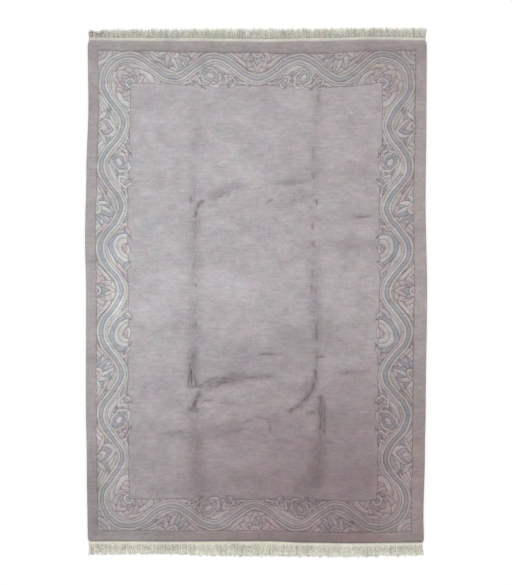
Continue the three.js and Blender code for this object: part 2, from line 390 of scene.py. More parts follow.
def corner_pull(points):
    """How far the worn corners of the pile draw back towards its middle."""
    across = np.clip(1 - (HALF.real - abs(points.real)) / CORNER_WEAR, 0, 1)
    along = np.clip(1 - (HALF.imag - abs(points.imag)) / CORNER_WEAR, 0, 1)
    pull = CORNER_DRAW * (across * along) ** 2
    return -pull * (np.sign(points.real) + 1j * np.sign(points.imag))


def felt(depths, middle):
    """How much of the inner line's shift is felt so deep inside one edge."""
    return np.interp(depths, [0, OUTER_BAND, OUTER_BAND + BORDER, middle], BORDER_SHARES)


def laid(points):
    """Points of the straightened rug, moved to where they lie between its wandering edges."""
    across = np.clip(points.real / PILE_WIDTH + 0.5, 0, 1)
    along = np.clip(points.imag / PILE_LENGTH + 0.5, 0, 1)
    moved = wander(LEFT_EDGE, along) * (1 - across) + wander(RIGHT_EDGE, along) * across
    moved += wander(RIGHT_BORDER, along) * felt(HALF.real - points.real, HALF.real)
    moved = moved + 1j * (wander(BOTTOM_EDGE, across) * (1 - along) + wander(TOP_EDGE, across) * along)
    moved += 1j * wander(TOP_BORDER, across) * felt(HALF.imag - points.imag, HALF.imag)
    drawn = np.zeros(len(points), complex)
    for size, wave_x, wave_y, start in HAND_WAVES:
        angle = 2 * np.pi * (points.real / wave_x + points.imag / wave_y) + start
        drawn += size * (np.sin(angle) + 1j * np.cos(HAND_ALONG * angle))
    return points + moved + drawn * np.clip(inset(points) / HAND_FADE, 0, 1)


def worn(points):
    """Points of the straightened rug, where they lie once its corners are worn."""
    return laid(points) + corner_pull(points)


def in_fold(fold, places):
    """How far each place lies along a crease from its middle, and across it, as one complex number."""
    off = (places - complex(fold.x, fold.y)) * np.exp(-1j * math.radians(fold.turn))
    along = np.clip(off.real / (fold.length / 2), -1, 1)
    return off - 1j * fold.bow * (1 - along**2)


def share_of(fold, places):
    """How much of a crease or swell each place feels: 1 on its bowed middle line, 0 outside it."""
    off = in_fold(fold, places)
    along = np.clip(off.real / (fold.length / 2), -1, 1)
    across = np.clip(off.imag / fold.width, -1, 1)
    return (1 - across**2) ** 2 * (1 - along**4)


def deepest(folds, places):
    """The depth, or the height of a swell, that each place has from the fold it feels most."""
    return np.max([fold.depth * share_of(fold, places) for fold in folds], axis=0)


def grain(folds, places, triangles):
    """How far each corner of each triangle lies along and across the fold that its middle feels most."""
    middles = places[triangles].mean(axis=1)
    most_felt = np.argmax([fold.depth * share_of(fold, middles) for fold in folds], axis=0)
    off = np.zeros(triangles.shape, complex)
    for number, fold in enumerate(folds):
        here = most_felt == number
        off[here] = in_fold(fold, places[triangles[here]])
    return off.ravel()


def paler(places):
    """How much lighter each place is than its yarn."""
    return sum(patch.depth * share_of(patch, places) for patch in PATCHES)


def rim_height(points):
    """The height of the even pile, which is round at its edge."""
    share = np.clip(inset(points) / EDGE_ROUND, 0, 1)
    return EDGE_HEIGHT + (PILE_THICKNESS - EDGE_HEIGHT) * np.sqrt(1 - (1 - share) ** 2)


def unevenness(places):
    """The small ups and downs of a hand-clipped pile."""
    height = np.zeros(len(places))
    for size, wave_x, wave_y, start in CLIPPING:
        spots = [Vector((place.real / wave_x, place.imag / wave_y, start)) for place in places]
        height += size * np.array([noise.noise(spot) for spot in spots])
    return height


def relief(face, place, near_line):
    """The height of the pile's face at each point, and how much painted shade a crease gets there."""
    crease, wrinkle = deepest(CREASES, place), deepest(WRINKLES, place)
    cut = np.maximum.reduce([LINE_DEPTH * near_line, crease, wrinkle])
    shadow = np.maximum(CREASE_SHADOW * crease, wrinkle) / DARKEST_DEPTH
    uneven = unevenness(place) * np.clip(inset(face) / HAND_FADE, 0, 1)
    return rim_height(face) + uneven - cut + deepest(SWELLS, place), shadow


# The motifs, as closed outlines. One on a higher layer, or later on the same layer, lies on top, and
# where the tops of two neighbours have different marks, the line between them is carved.

OUTER_GROUND, INNER_GROUND, MOTIFS, RIVER, EDGING, TOES = range(6)
Shape = namedtuple("Shape", "outline yarn mark layer", defaults=[None, MOTIFS])
CURVE_STEPS = 9

# Below 1, a leaf or petal is widest nearer to its base.
LEAF_BALANCE = 0.85

# How much shorter a fan's outermost petal is, and how deep the notches of a cloud are, as shares.
FAN_SHORTER = 0.14
CLOUD_NOTCH = 0.22

# The way that a motif faces and how far its discs open to each side, in degrees, where nothing else
# is asked for. A disc that opens so far to both sides is a half disc.
INTO_HOLLOW = 90
HALF_DISC = 90


def bowed(start, end, bow=0):
    """A curve whose middle stands to the left of the straight way from start to end."""
    u = np.linspace(0, 1, CURVE_STEPS + 1)
    way = end - start
    return start + way * u + 1j * way / abs(way) * bow * 4 * u * (1 - u)


def swelling(rib, width):
    """How far a leaf's edge stands off its rib, from base to tip."""
    u = np.linspace(0, 1, len(rib))
    way = rib[-1] - rib[0]
    return 1j * way / abs(way) * width / 2 * np.sin(np.pi * u**LEAF_BALANCE)


def leaf(base, tip, width, yarns, bow=0):
    """A leaf in two halves, one on each side of its rib."""
    rib = bowed(base, tip, bow)
    edge = swelling(rib, width)
    outlines = [np.concatenate([rib, (rib + side * edge)[-2:0:-1]]) for side in (1, -1)]
    return [Shape(outline, yarn) for outline, yarn in zip(outlines, yarns)]


def petal(base, tip, width, yarns):
    """A petal with one or more smaller ones in its heart."""
    shapes = []
    for i, yarn in enumerate(yarns):
        share = 1 - i / len(yarns)
        rib = bowed(base, base + (tip - base) * share)
        edge = swelling(rib, width * share)
        shapes.append(Shape(np.concatenate([rib + edge, (rib - edge)[-2:0:-1]]), yarn))
    return shapes


def fan(make, centre, count, radius, spread, facing=INTO_HOLLOW, **look):
    """Petals or leaves side by side around a centre, the middle one on top."""
    shapes = []
    turns = np.linspace(-spread, spread, count)
    for turn in sorted(turns, key=lambda turn: -abs(turn)):
        reach = radius * (1 - FAN_SHORTER * abs(turn / spread))
        shapes += make(centre, centre + reach * np.exp(1j * math.radians(facing + turn)), **look)
    return shapes


def rounds(centre, radii, yarns, facing=INTO_HOLLOW, reach=HALF_DISC):
    """Parts of discs, one inside the other, that open to both sides of the way they face."""
    turns = np.radians(np.linspace(facing - reach, facing + reach, 2 * CURVE_STEPS + 1))
    spokes = np.exp(1j * turns) if reach == HALF_DISC else np.append(np.exp(1j * turns), 0)
    return [Shape(centre + radius * spokes, yarn) for radius, yarn in zip(radii, yarns)]


def cloud(centre, size, lobes, turn, yarns):
    """A lobed cloud with smaller ones in its heart."""
    around = np.linspace(0, 2 * np.pi, 3 * CURVE_STEPS, endpoint=False)
    reach = 1 - CLOUD_NOTCH + CLOUD_NOTCH * abs(np.sin(lobes * around / 2))
    outline = reach * np.exp(1j * (around + math.radians(turn)))
    shares = 1 - np.arange(len(yarns)) / len(yarns)
    return [Shape(centre + size * share * outline, yarn) for share, yarn in zip(shares, yarns)]


def ribbon(line, width, yarn, aside=0):
    """A band along a line or aside of it. The line's first and last points only give it its way."""
    left = 1j * (line[2:] - line[:-2]) / abs(line[2:] - line[:-2])
    middle = line[1:-1] + left * aside
    edges = [middle + left * width / 2, (middle - left * width / 2)[::-1]]
    return Shape(np.concatenate(edges), yarn)


def both(shapes):
    """Shapes and their mirror images on the other side of a motif's middle."""
    return shapes + [shape._replace(outline=-shape.outline.conj()) for shape in shapes]


# What fills each hollow of the river. The hollow's foot is the carved line, and +j points into it. A
# leaf or petal goes from its base to its tip, and places are millimetres from the middle of the foot.


def lotus():
    flanks = leaf(196 + 5j, 106 + 70j, width=46, bow=-9, yarns=["blue", "pale"])
    back = fan(petal, 0, count=5, radius=120, spread=66, width=64, yarns=["pink", "pale"])
    front = fan(petal, 0, count=3, radius=76, spread=42, width=44, yarns=["blue", "cream"])
    return both(flanks) + back + front + rounds(0, [32, 16], ["pale", "pink"])


def hills():
    outer = rounds(150, [40], ["blue"]) + rounds(150, [20], ["pale"])
    sides = rounds(88, [66, 44, 22], ["pink", "pale", "mauve"])
    tall = rounds(0, [112, 86, 60, 32], ["blue", "pale", "cream", "pink"])
    return both(outer + sides) + tall


def palm():
    flanks = leaf(198 + 5j, 108 + 66j, width=44, bow=-10, yarns=["mauve", "cream"])
    fronds = fan(leaf, -8j, count=5, radius=132, spread=64, width=58, yarns=["blue", "pale"])
    return both(flanks) + fronds + rounds(0, [38, 18], ["cream", "pink"])


def cloud_bank():
    tail = bowed(30 + 74j, 224 + 4j, bow=-14)
    small = cloud(104 + 30j, size=38, lobes=5, turn=20, yarns=["pale", "pink"])
    head = cloud(54j, size=68, lobes=7, turn=0, yarns=["cream", "blue", "pale"])
    return both([ribbon(tail, 44, "mauve"), ribbon(tail, 16, "pale")] + small) + head


def bud():
    flanks = leaf(194 + 5j, 96 + 72j, width=46, bow=-12, yarns=["pale", "blue"])
    wings = leaf(10 + 2j, 118 + 52j, width=56, bow=14, yarns=["blue", "cream"])
    heart = petal(-6j, 124j, width=112, yarns=["pale", "mauve", "cream", "pink"])
    return both(flanks + wings) + heart


def toes():
    """Small shapes that step over the inner line into the field."""
    point = leaf(122 + 26j, 70 - 16j, width=32, bow=4, yarns=["cream", "blue"])
    return both(point) + rounds(26j, [42, 24], ["pale", "pink"], facing=270, reach=52)


# The river: a wave of stripes that runs round the rug, near the outer line at its corners. Each
# stripe has a yarn, a width, and how far its middle stands off the river's.
RIVER_MIDDLE = BORDER / 2
RIVER_SWING = 62
RIVER_STEP = 12
RIVER_OVERLAP = 2
RIVER_STRIPES = [("cream", 66, 0), ("blue", 32, -2), ("pale", 17, 11.5)]

# The ripples behind a motif repeat the river's bend: the widest one's height, and their shares of it.
RIPPLE_HEIGHT = 130
RIPPLES = [0.88, 0.7, 0.52]

# A side of the rug: the way along it, the way out across it, and how many half waves it holds. Its
# hollows run from the side's middle outwards: the motif, how far it leans away from the middle, and
# the yarns of its ripples.
Side = namedtuple("Side", "along outward half_waves hollows")
Hollow = namedtuple("Hollow", "motif lean ripples")
LONG_HOLLOWS = [
    Hollow(lotus, 0, ["cream", "pink", "pale"]),
    Hollow(hills, 0.3, ["cream", "pale", "pink"]),
    Hollow(palm, -0.4, ["pink", "cream", "pale"]),
    Hollow(cloud_bank, 0.5, ["pale", "cream", "pink"]),
    Hollow(bud, -0.4, ["cream", "pale", "pink"]),
]
SHORT_HOLLOWS = [LONG_HOLLOWS[0], LONG_HOLLOWS[3], LONG_HOLLOWS[2]]
SIDES = [
    Side(1, 1j, 3, SHORT_HOLLOWS),
    Side(1, -1j, 3, SHORT_HOLLOWS),
    Side(1j, 1, 5, LONG_HOLLOWS),
    Side(1j, -1, 5, LONG_HOLLOWS),
]
CORNER_RIPPLES = ["cream", "pale", "pink"]
CORNER_RIPPLE_REACH = 215
CORNER_RADII = [186, 146, 112, 84, 56, 30]
CORNER_YARNS = ["pale", "cream", "blue", "pale", "pink", "cream"]
INNER_LINE = OUTER_BAND + BORDER

# How much two copies of a motif differ in size and turn, because they are drawn by hand.
HAND_SPREAD = 0.02


def span(side):
    """Half the length of a side between its two corner squares."""
    return abs(HALF.real * side.along.real + HALF.imag * side.along.imag) - INNER_LINE


def on_side(side, shape):
    """A shape of the strip, from along the outer line and in from it, on one side of the rug."""
    reach = abs(HALF.real * side.outward.real + HALF.imag * side.outward.imag) - OUTER_BAND
    place = shape.outline.real * side.along + (reach - shape.outline.imag) * side.outward
    return shape._replace(outline=place)


def river_along(side):
    """The river's middle line along one side, with a point more at each end."""
    ends = span(side) + RIVER_STEP
    along = np.linspace(-ends, ends, 2 * round(ends / RIVER_STEP) + 1)
    swing = np.cos(np.pi * side.half_waves * along / span(side))
    return along + 1j * (RIVER_MIDDLE + RIVER_SWING * swing)


def river_round_corner():
    """The river's middle line round one corner, from just before it to just after it."""
    radius = RIVER_MIDDLE + RIVER_SWING
    steps = round(radius * np.pi / 2 / RIVER_STEP)
    turns = np.pi + np.pi / 2 * np.arange(-RIVER_OVERLAP, steps + RIVER_OVERLAP + 1) / steps
    return complex(BORDER, BORDER) + radius * np.exp(1j * turns)


def river(line):
    """The stripes of the river, the widest lowest."""
    stripes = [ribbon(line, width, yarn, aside) for yarn, width, aside in RIVER_STRIPES]
    return [stripe._replace(mark="river " + stripe.yarn, layer=RIVER) for stripe in stripes]


def inner_ground(line, *corners):
    """The ground between the river and the inner carved line."""
    return Shape(np.append(line[1:-1], corners), "pale", "inner ground", INNER_GROUND)


def quarter(start, end):
    """A quarter of an ellipse round 0, whose half axes are its start and its end."""
    turns = np.linspace(0, np.pi / 2, CURVE_STEPS + 1)
    return start * np.cos(turns) + end * np.sin(turns)


def ripples(reach, yarns, layer):
    """Bends of the river's own shape behind a motif, one inside the other."""
    along = np.linspace(-1, 1, 4 * CURVE_STEPS + 1)
    bend = reach * along + 0.5j * RIPPLE_HEIGHT * (1 + np.cos(np.pi * along))
    return [Shape(bend * share, yarn, None, layer) for share, yarn in zip(RIPPLES, yarns)]


def corner_ripples(inner):
    """Ripples that run round the inner corner, from one side's foot to the other's."""
    reach, high = CORNER_RIPPLE_REACH, RIPPLE_HEIGHT
    bends = [quarter(reach, -1j * high), quarter(-1j * high, -high), quarter(-high, 1j * reach)]
    arch = np.concatenate([bends[0], bends[1][1:], bends[2][1:], [0]])
    shares = zip(RIPPLES, CORNER_RIPPLES)
    return [Shape(inner + arch * share, yarn, None, INNER_GROUND) for share, yarn in shares]


def by_hand(shapes, lean=0):
    """Shapes that lean along the line they stand on, each motif a little unlike the next."""
    unlike = 1 + complex(*RANDOM.normal(0, HAND_SPREAD, 2))
    outlines = [(shape.outline + lean * shape.outline.imag) * unlike for shape in shapes]
    return [shape._replace(outline=outline) for shape, outline in zip(shapes, outlines)]


def side_shapes(side):
    """Everything in the border along one side, without its corners."""
    line = river_along(side)
    half = span(side)
    shapes = [inner_ground(line, complex(half, BORDER), complex(-half, BORDER))] + river(line)
    for number, hollow in enumerate(side.hollows):
        opens_inwards = number % 2 == 0
        layer = OUTER_GROUND if opens_inwards else INNER_GROUND
        filling = ripples(half / side.half_waves, hollow.ripples, layer) + hollow.motif()
        if not opens_inwards:
            filling += [shape._replace(layer=TOES) for shape in toes()]
        middle = half * number / side.half_waves
        for end in sorted({middle, -middle}):
            for shape in by_hand(filling, hollow.lean):
                local = shape.outline if end >= 0 else -shape.outline.conj()
                local = local if opens_inwards else local.conj() + 1j * BORDER
                shapes.append(shape._replace(outline=local + end))
    return [on_side(side, shape) for shape in shapes]


def across_diagonal(shapes):
    """Shapes and their mirror images over a corner's diagonal."""
    return shapes + [shape._replace(outline=1j * shape.outline.conj()) for shape in shapes]


def corner_shapes(right, up):
    """The corner square, drawn from the outer lines inwards, at one corner of the rug."""
    inner = complex(BORDER, BORDER)
    line = river_round_corner()
    outer = rounds(0, CORNER_RADII, CORNER_YARNS, facing=45, reach=45)
    flanks = leaf(inner + 186 - 7j, inner + 106 - 80j, width=44, bow=10, yarns=["blue", "pale"])
    rose = fan(petal, inner, 7, radius=112, spread=108, facing=225, width=76, yarns=["pink", "pale"])
    rose += fan(petal, inner, 5, radius=70, spread=90, facing=225, width=50, yarns=["mauve", "cream"])
    rose += rounds(inner, [34, 17], ["pale", "blue"], facing=225, reach=135)
    shapes = [shape._replace(layer=OUTER_GROUND) for shape in outer]
    shapes += [inner_ground(line, inner)] + corner_ripples(inner)
    shapes += across_diagonal(flanks) + rose + river(line)
    corner = HALF - complex(OUTER_BAND, OUTER_BAND)
    turned = []
    for shape in shapes:
        place = corner - shape.outline
        turned.append(shape._replace(outline=right * place.real + 1j * up * place.imag))
    return turned


def rectangle(low, high, yarn="band", mark="band", layer=EDGING):
    """An upright rectangle, from its lower left to its upper right corner."""
    corners = [low, complex(high.real, low.imag), high, complex(low.real, high.imag)]
    return Shape(np.array(corners), yarn, mark, layer)


def pattern():
    """Every shape of the rug's face, from the lowest to the topmost, as outlines of even stretches."""
    border = HALF - complex(OUTER_BAND, OUTER_BAND)
    field = HALF - complex(INNER_LINE, INNER_LINE)
    shapes = [
        rectangle(-HALF, HALF, layer=OUTER_GROUND),
        rectangle(-border, border, "stone", "outer ground", OUTER_GROUND),
        rectangle(-HALF, complex(-border.real, HALF.imag)),
        rectangle(complex(border.real, -HALF.imag), HALF),
        rectangle(-HALF, complex(HALF.real, -border.imag)),
        rectangle(complex(-HALF.real, border.imag), HALF),
        rectangle(-field, field, "ground", "field"),
    ]
    for side in SIDES:
        shapes += side_shapes(side)
    for right in (-1, 1):
        for up in (-1, 1):
            shapes += corner_shapes(right, up)
    shapes = [shape._replace(outline=spaced(shape.outline, LINE_SEGMENT)) for shape in shapes]
    return sorted(shapes, key=lambda shape: shape.layer)


# Dividing the face into triangles along the shapes' outlines.


def spaced(outline, step):
    """A closed outline of stretches near a step long, with its sharp corners kept."""
    after, before = np.roll(outline, -1) - outline, outline - np.roll(outline, 1)
    sharp = abs(np.angle(after * before.conj())) > SHARP_TURN
    corners = [outline[0]]
    for point, is_sharp in zip(outline[1:], sharp[1:]):
        if is_sharp or abs(point - corners[-1]) > step / 2:
            corners.append(point)
    stretches = []
    for start, end in zip(corners, corners[1:] + corners[:1]):
        pieces = max(1, math.ceil(abs(end - start) / step - ROUNDING))
        stretches.append(start + (end - start) * np.arange(pieces) / pieces)
    return np.concatenate(stretches)


def within(points, outline):
    """Which points lie inside a closed outline: a ray from them crosses it an odd number of times."""
    crossings = np.zeros(len(points), int)
    for start, end in zip(outline, np.roll(outline, -1)):
        if start.imag == end.imag:
            continue
        way = end - start
        level = (points.imag > start.imag) != (points.imag > end.imag)
        crossed = start.real + (points.imag - start.imag) * way.real / way.imag
        crossings += level & (points.real < crossed)
    return crossings % 2 == 1


def topmost(shapes, points):
    """The number of the topmost shape over each point."""
    tops = np.zeros(len(points), int)
    for number, shape in enumerate(shapes):
        x, y = shape.outline.real, shape.outline.imag
        near = (points.real > x.min()) & (points.real < x.max())
        near = np.flatnonzero(near & (points.imag > y.min()) & (points.imag < y.max()))
        tops[near[within(points[near], shape.outline)]] = number
    return tops


def divide(places, edges, merge=MERGE):
    """Points and triangles of the face, with the given edges among theirs."""
    vectors = [Vector((p.real, p.imag)) for p in places]
    made, _, triangles, *_ = delaunay_2d_cdt(vectors, edges, [], 0, merge, False)
    return np.array([complex(*point) for point in made]), np.array(triangles)


def marks_of(shapes):
    """A number for each shape's mark. A shape without a mark has a number of its own."""
    names = [shape.mark or i for i, shape in enumerate(shapes)]
    order = {name: number for number, name in enumerate(dict.fromkeys(names))}
    return np.array([order[name] for name in names])


def carved_edges(triangles, marks):
    """The edges whose two triangles have different marks."""
    edges = np.sort(triangles[:, [0, 1, 1, 2, 2, 0]].reshape(-1, 2), axis=1)
    marks = np.repeat(marks, 3)
    order = np.lexsort((edges[:, 1], edges[:, 0]))
    edges, marks = edges[order], marks[order]
    paired = np.all(edges[1:] == edges[:-1], axis=1) & (marks[1:] != marks[:-1])
    return edges[1:][paired]


def carved_lines(shapes):
    """The points and edges of every line that shows, once the shapes lie on each other."""
    outlines = [shape.outline for shape in shapes]
    starts = np.cumsum([0] + [len(outline) for outline in outlines])
    around = []
    for first, last in zip(starts, starts[1:]):
        around += [(i, i + 1) for i in range(first, last - 1)] + [(last - 1, first)]
    places, triangles = divide(np.concatenate(outlines), around, LINE_MERGE)
    tops = topmost(shapes, places[triangles].mean(axis=1))
    edges = carved_edges(triangles, marks_of(shapes)[tops])
    kept, numbers = np.unique(edges, return_inverse=True)
    return places[kept], numbers.reshape(-1, 2)


def tree_of(points):
    """The points, kept so that the nearest one is quickly found."""
    tree = KDTree(len(points))
    for i, point in enumerate(points):
        tree.insert((point.real, point.imag, 0), i)
    tree.balance()
    return tree


def line_samples(places, edges):
    """Points close together along the carved lines."""
    shares = np.linspace(0, 1, LINE_SAMPLES)
    start, end = places[edges[:, 0], None], places[edges[:, 1], None]
    return (start + (end - start) * shares).ravel()


def distances(tree, points):
    """How far each point is from the nearest one of a tree."""
    return np.array([tree.find((p.real, p.imag, 0))[2] for p in points])


def thinned(points, cell):
    """One point of each cell of a square net."""
    cells = np.round(np.column_stack([points.real, points.imag]) / cell)
    return points[np.sort(np.unique(cells, axis=0, return_index=True)[1])]


def beside_lines(places, edges):
    """Points on both shoulders of the carved lines."""
    way = places[edges[:, 1]] - places[edges[:, 0]]
    middle = (places[edges[:, 1]] + places[edges[:, 0]]) / 2
    shoulder = 1j * way / abs(way) * LINE_HALF_WIDTH
    return np.concatenate([middle + shoulder, middle - shoulder])


def net(step, least_inset, most_inset):
    """A staggered net of points, between two distances from the rug's edge."""
    x = np.arange(-HALF.real, HALF.real, step)
    y = np.arange(-HALF.imag, HALF.imag, step * NET_ROW)
    points = x[None, :] + (np.arange(len(y)) % 2 * step / 2)[:, None] + 1j * y[:, None]
    points = points.ravel()
    depth = inset(points)
    return points[(depth > least_inset) & (depth < most_inset)]


def rim_ring(depth):
    """Points all round the rug, at one distance in from its edge."""
    corner = HALF - depth * (1 + 1j)
    return spaced(rectangle(-corner, corner).outline, RIM_STEP)


def face_points(places, edges):
    """The loose points of the face: its rim, its lines' shoulders, its wrinkles, and a net between them."""
    tree = tree_of(line_samples(places, edges))
    shoulders = beside_lines(places, edges)
    shoulders = thinned(shoulders[distances(tree, shoulders) > CLEAR_OF_NEIGHBOURS], SHOULDER_CELL)
    close = net(WRINKLE_STEP, INNER_LINE, math.inf)
    close = close[deepest(WRINKLES, laid(close)) > 0]
    nets = np.concatenate([net(NET_STEP, NET_INSET, INNER_LINE), net(NET_STEP, INNER_LINE, math.inf)])
    nets = nets[distances(tree_of(close), nets) > WRINKLE_STEP]
    nets = np.concatenate([nets, close])
    nets = nets[distances(tree, nets) > LINE_HALF_WIDTH + CLEAR_OF_LINES]
    return np.concatenate([rim_ring(depth) for depth in RIM_INSETS] + [shoulders, nets])


# Meshes and the values they carry.


def mesh_object(name, vertices, faces, materials):
    """A smooth piece with its materials, in the scene."""
    mesh = bpy.data.meshes.new(name)
    mesh.from_pydata(np.asarray(vertices).tolist(), [], [list(map(int, face)) for face in faces])
    for material in materials:
        mesh.materials.append(material)
    piece = bpy.data.objects.new(name, mesh)
    bpy.context.scene.collection.objects.link(piece)
    mesh.polygons.foreach_set("use_smooth", [True] * len(mesh.polygons))
    return piece


def keep_values(mesh, name, values):
    """One number for each point of a mesh, which its material reads."""
    layer = mesh.attributes.new(name, "FLOAT", "POINT")
    layer.data.foreach_set("value", np.asarray(values, np.float32))


def keep_colours(mesh, name, colours):
    """One colour for each corner of a mesh's faces."""
    layer = mesh.attributes.new(name, "FLOAT_COLOR", "CORNER")
    opaque = np.column_stack([colours, np.ones(len(colours))])
    layer.data.foreach_set("color", opaque.astype(np.float32).ravel())


def rim_order(places):
    """The points on the rug's very edge, counterclockwise from its lower left corner."""
    on_rim = np.flatnonzero(inset(places) < MERGE)
    ends = places[on_rim]
    around = np.select(
        [
            ends.imag < MERGE - HALF.imag,
            ends.real > HALF.real - MERGE,
            ends.imag > HALF.imag - MERGE,
        ],
        [
            ends.real + HALF.real,
            PILE_WIDTH + ends.imag + HALF.imag,
            PILE_WIDTH + PILE_LENGTH + HALF.real - ends.real,
        ],
        2 * PILE_WIDTH + PILE_LENGTH + HALF.imag - ends.imag,
    )
    return on_rim[np.argsort(around)]


def face_colours(shapes, places, triangles):
    """The yarn of each triangle, deeper or paler towards the right, and faded at the rug's two ends."""
    yarns = {name: linear(colour) for name, colour in YARNS.items()}
    middles = places[triangles].mean(axis=1)
    tops = topmost(shapes, middles)
    colours = np.array([yarns[shapes[top].yarn] for top in tops])
    in_border = np.array([shapes[top].mark not in ("band", "field") for top in tops])
    faded = in_border & (abs(middles.imag) > HALF.imag - INNER_LINE)
    colours[faded] += END_FADE * (yarns["stone"] - colours[faded])
    deeper = {"field": 0, "band": -BAND_DRIFT}
    drift = np.array([deeper.get(shapes[top].mark, BORDER_DRIFT) for top in tops])
    drift *= np.clip(middles.real / HALF.real, 0, 1)
    return colours * ((1 - drift) * (1 + paler(middles)))[:, None]


def at_height(place, height):
    """Places of the pattern as points in space."""
    return np.column_stack([place.real, place.imag, height])


def walls_between(upper_rim, lower_rim):
    """Triangles that close the rug's edge, between two rims of equally many points."""
    a, b, c, d = upper_rim, np.roll(upper_rim, -1), np.roll(lower_rim, -1), lower_rim
    return np.concatenate([np.column_stack([a, c, b]), np.column_stack([a, d, c])])


def rug_piece(materials):
    """The whole rug: its face, its back, and the walls between them."""
    shapes = pattern()
    lines, edges = carved_lines(shapes)
    rim = rim_ring(0)
    face, triangles = divide(np.concatenate([lines, rim, face_points(lines, edges)]), edges)
    back = np.concatenate([lines, rim, net(UNDERSIDE_STEP, UNDERSIDE_INSET, math.inf)])
    below, below_triangles = divide(back, edges)

    depth = distances(tree_of(line_samples(lines, edges)), face)
    near_line = np.clip(1 - depth / LINE_HALF_WIDTH, 0, 1)
    place, under = worn(face), worn(below)
    height, shadow = relief(face, place, near_line)
    vertices = np.concatenate([at_height(place, height), at_height(under, deepest(SWELLS, under))])
    walls = walls_between(rim_order(face), rim_order(below) + len(face))
    underside = below_triangles[:, ::-1] + len(face)
    rug = mesh_object("rug_pile", vertices * MM, np.concatenate([triangles, underside, walls]), materials)

    colours = np.concatenate([
        face_colours(shapes, face, triangles),
        face_colours(shapes, below, below_triangles),
        np.tile(linear(YARNS["band"]), (len(walls), 1)),
    ])
    keep_colours(rug.data, "yarn", np.repeat(colours, 3, axis=0))
    flat = np.zeros(len(below))
    keep_values(rug.data, "line", np.concatenate([near_line, flat]))
    # How much painted shade each crease gets, for the wool's material.
    keep_values(rug.data, "crease", np.concatenate([shadow, flat]))
    folded = grain(CREASES, place, triangles) * MM
    folded = np.pad(folded, (0, len(rug.data.loops) - len(folded)))
    keep_colours(rug.data, "crease_grain", np.column_stack([folded.real, folded.imag, 0 * folded.real]))
    slots = np.zeros(len(rug.data.polygons), int)
    slots[len(triangles) : len(triangles) + len(underside)] = 1
    rug.data.polygons.foreach_set("material_index", slots)
    return rug


# The fringe.


def wave_at(waves, index):
    """The sum of some waves at each number of a row."""
    return sum(weight * np.sin(index * step + start) for weight, step, start in waves)


def web_piece(end, material):
    """A flat woven strip in the plane of the floor, with a ridge for each weft."""
    half = HALF.real - WEB_INSET
    columns = np.linspace(-half, half, round(2 * half / WEB_STEP) + 1)
    root = laid(columns + 1j * end.side * HALF.imag)
    out = np.linspace(WEB_GAP, WEB_WIDTH, 2 * WEFTS + 1)
    height = WEB_HEIGHT + WEFT_RELIEF * (np.arange(len(out)) % 2)
    out = np.concatenate([[WEB_GAP], out, [WEB_WIDTH]])
    height = np.concatenate([[0], height, [0]])
    x, far = np.meshgrid(root.real, out, indexing="ij")
    y = root.imag[:, None] + end.side * far
    vertices = np.stack([x, y, np.tile(height, (len(columns), 1))], axis=-1).reshape(-1, 3)
    numbers = np.arange(len(vertices)).reshape(len(columns), len(out))
    following = np.roll(numbers, -1, axis=1)
    corners = [numbers[:-1], following[:-1], following[1:], numbers[1:]]
    sides = np.stack(corners, axis=-1).reshape(-1, 4)[:, :: -end.side]
    caps = [numbers[0][:: end.side], numbers[-1][:: -end.side]]
    web = mesh_object("web_" + end.name, vertices * MM, [*sides, *caps], [material])
    colours = np.tile(linear(YARNS[end.yarn]), (len(web.data.loops), 1))
    keep_colours(web.data, "yarn", colours)
    return web


def select_only(mesh, kind, wanted):
    """Edit mode, with only the wanted edges or vertices selected."""
    bpy.ops.object.mode_set(mode="EDIT")
    bpy.ops.mesh.select_mode(type="EDGE" if kind == "edges" else "VERT")
    bpy.ops.mesh.select_all(action="DESELECT")
    bpy.ops.object.mode_set(mode="OBJECT")
    for part in getattr(mesh, kind):
        part.select = wanted(part)
    bpy.ops.object.mode_set(mode="EDIT")


def yarn_model():
    """One upright yarn of unit length and radius, with rings to bend it at and a thinner tip."""
    bpy.ops.object.select_all(action="DESELECT")
    bpy.ops.mesh.primitive_cylinder_add(vertices=YARN_SIDES, radius=1, depth=1, location=(0, 0, 0.5))
    yarn = bpy.context.active_object
    bpy.ops.object.transform_apply(location=True)
    mesh = yarn.data

    def upright(edge):
        one, other = edge.vertices
        return abs(mesh.vertices[one].co.z - mesh.vertices[other].co.z) > 0.5

    select_only(mesh, "edges", upright)
    bpy.ops.mesh.subdivide(number_cuts=YARN_RINGS - 1)
    select_only(mesh, "vertices", lambda vertex: vertex.co.z > 1 - 0.5 / YARN_RINGS)
    bpy.ops.transform.resize(value=(TIP_WIDTH, TIP_WIDTH, 1))
    bpy.ops.object.mode_set(mode="OBJECT")
    return yarn


